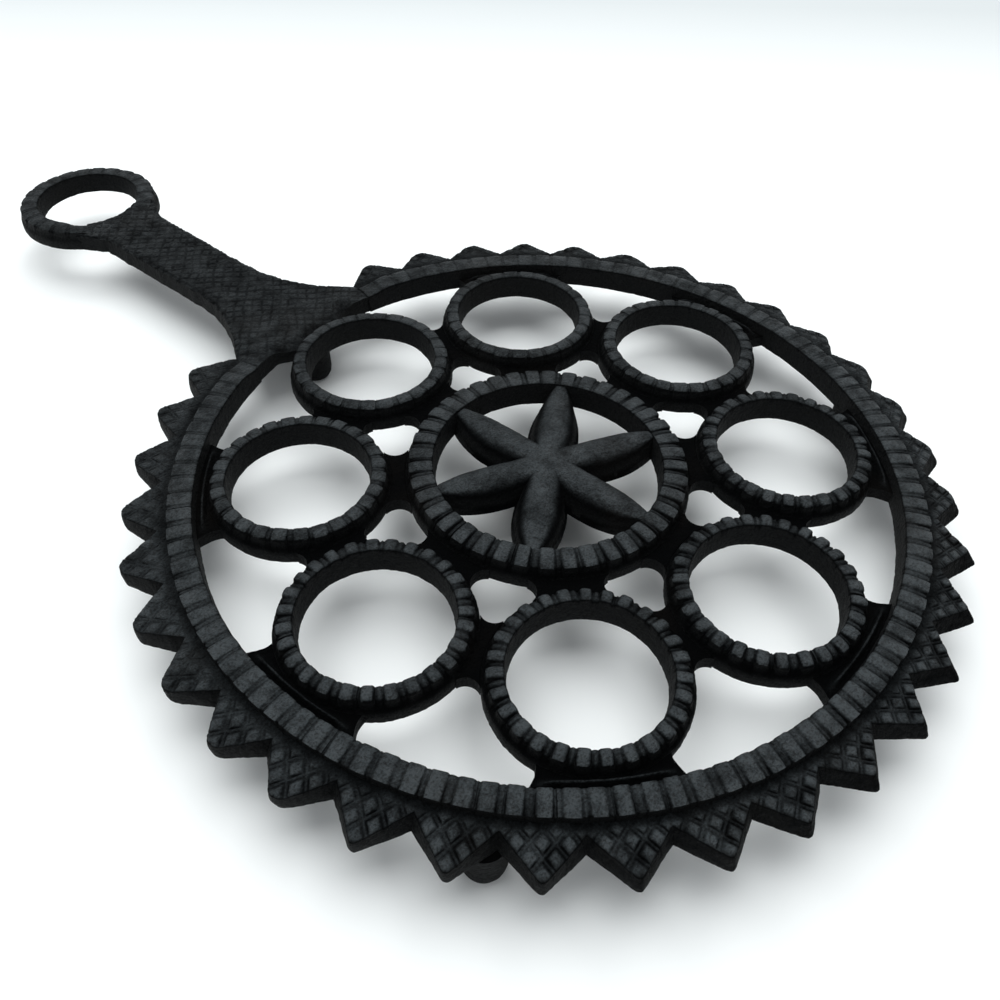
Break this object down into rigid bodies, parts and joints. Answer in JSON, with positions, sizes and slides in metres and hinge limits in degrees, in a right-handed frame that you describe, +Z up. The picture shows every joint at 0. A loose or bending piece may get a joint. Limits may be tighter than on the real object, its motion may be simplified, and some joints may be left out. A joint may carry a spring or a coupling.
{
  "type": "trivet",
  "caption": "Round cast iron trivet of small rings about a star centre, with a toothed rim, a strap handle that ends in a hanging loop, and three peg feet.",
  "frame": {"origin": "centre of the footprint of the whole casting, on the table", "axes": "+Z up through the trivet, +Y along the handle towards its loop, +X to the right of the handle seen from above"},
  "size_m": [0.1908, 0.2921, 0.018],
  "materials": {
    "cast_iron": "satin black seasoned cast iron with a fine sand-cast grain"
  },
  "bodies": {
    "root": {"rim_band": "cast_iron", "sawtooth_border": "cast_iron", "ring_1": "cast_iron", "ring_2": "cast_iron", "ring_3": "cast_iron", "ring_4": "cast_iron", "ring_5": "cast_iron", "ring_6": "cast_iron", "ring_7": "cast_iron", "ring_8": "cast_iron", "centre_ring": "cast_iron", "star": "cast_iron", "rim_webs": "cast_iron", "ring_webs": "cast_iron", "centre_webs": "cast_iron", "handle": "cast_iron", "hanging_loop": "cast_iron", "foot_1": "cast_iron", "foot_2": "cast_iron", "foot_3": "cast_iron"}
  },
  "joints": []
}
